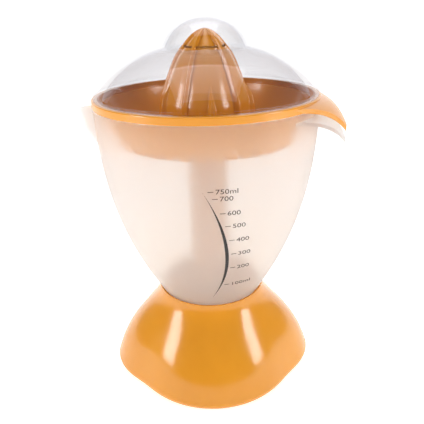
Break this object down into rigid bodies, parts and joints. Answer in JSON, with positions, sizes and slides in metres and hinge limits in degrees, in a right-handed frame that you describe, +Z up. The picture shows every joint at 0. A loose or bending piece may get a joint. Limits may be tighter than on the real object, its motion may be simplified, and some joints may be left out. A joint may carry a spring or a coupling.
{
  "type": "citrus press juicer",
  "caption": "Electric citrus press with a geared motor base, a frosted pouring jar, a slotted strainer, a ribbed reamer and a clear domed lid.",
  "frame": {"origin": "on the drive axis at the table plane, in the plane of the foot ring's underside", "axes": "+Z up along the drive axis, -Y to the front with the ml scale, +X to the handle side, the spout on -X"},
  "size_m": [0.1587, 0.1378, 0.2363],
  "materials": {
    "orange_gloss": "glossy injection-moulded",
    "frosted_jar": "frosted clear plastic",
    "clear_lid": "clear polished plastic",
    "underside": "fine matt texture",
    "white_acetal": "machined natural acetal",
    "dark_nylon": "matt black nylon",
    "black_rubber": "soft matt rubber",
    "steel": "bright drawn steel",
    "zinc_can": "zinc-plated sheet",
    "bronze": "sintered bronze",
    "copper_winding": "enamelled winding",
    "ferrite": "ground ferrite"
  },
  "bodies": {
    "base": {"base_housing": "orange_gloss", "bottom_plate": "underside", "foot_ring": "black_rubber", "housing_screws": "steel", "cord_inlet": "dark_nylon", "gearbox_deck": "dark_nylon", "gearbox_cover": "dark_nylon", "gearbox_screws": "steel", "idler_axle": "steel", "motor_can": "zinc_can", "motor_end_plate": "zinc_can", "stator_coil": "copper_winding", "motor_bearings": "bronze", "output_bush": "bronze", "spindle_seal": "black_rubber", "return_spring": "steel", "switch_body": "dark_nylon"},
    "rotor": {"motor_rotor": "ferrite", "motor_shaft": "steel", "motor_pinion": "white_acetal"},
    "idler": {"idler_gear": "white_acetal"},
    "gear": {"output_gear": "white_acetal"},
    "spindle": {"output_spindle": "steel"},
    "switch": {"switch_plunger": "white_acetal"},
    "jar": {"jar": "frosted_jar", "jar_column": "frosted_jar"},
    "strainer": {"strainer": "orange_gloss"},
    "sleeve": {"press_sleeve": "white_acetal"},
    "reamer": {"reamer": "orange_gloss", "drive_stem": "orange_gloss"},
    "lid": {"lid": "clear_lid"}
  },
  "joints": [
    {"name": "jar_lift", "type": "slide", "parent": "base", "child": "jar", "axis": [0, 0, 1], "range_m": [0, 0.06]},
    {"name": "strainer_lift", "type": "slide", "parent": "jar", "child": "strainer", "axis": [0, 0, 1], "range_m": [0, 0.15]},
    {"name": "lid_lift", "type": "slide", "parent": "strainer", "child": "lid", "axis": [0, 0, 1], "range_m": [0, 0.06]},
    {"name": "reamer_press", "type": "slide", "parent": "strainer", "child": "sleeve", "axis": [0, 0, 1], "range_m": [-0.0025, 0], "stiffness_N_per_m": 900, "springref_m": 0.004},
    {"name": "reamer_spin", "type": "hinge", "parent": "sleeve", "child": "reamer", "pos_m": [0, 0, 0.18], "axis": [0, 0, 1], "continuous": true},
    {"name": "gear_spin", "type": "hinge", "parent": "base", "child": "gear", "pos_m": [0, 0, 0.038], "axis": [0, 0, 1], "continuous": true},
    {"name": "spindle_press", "type": "slide", "parent": "gear", "child": "spindle", "axis": [0, 0, 1], "range_m": [-0.0025, 0], "deforming": ["return_spring"]},
    {"name": "idler_spin", "type": "hinge", "parent": "base", "child": "idler", "pos_m": [0.0248, 0, 0.035], "axis": [0, 0, 1], "continuous": true},
    {"name": "rotor_spin", "type": "hinge", "parent": "base", "child": "rotor", "pos_m": [0.01635, 0.01813, 0.02], "axis": [0, 0, 1], "continuous": true},
    {"name": "switch_press", "type": "slide", "parent": "base", "child": "switch", "axis": [0, 0, 1], "range_m": [-0.0025, 0]}
  ],
  "couplings": [
    {"joint": "gear_spin", "follows": "reamer_spin", "ratio": 1},
    {"joint": "idler_spin", "follows": "reamer_spin", "ratio": -4.1667},
    {"joint": "rotor_spin", "follows": "reamer_spin", "ratio": 16.667},
    {"joint": "spindle_press", "follows": "reamer_press", "ratio": 1},
    {"joint": "switch_press", "follows": "reamer_press", "ratio": 1}
  ]
}
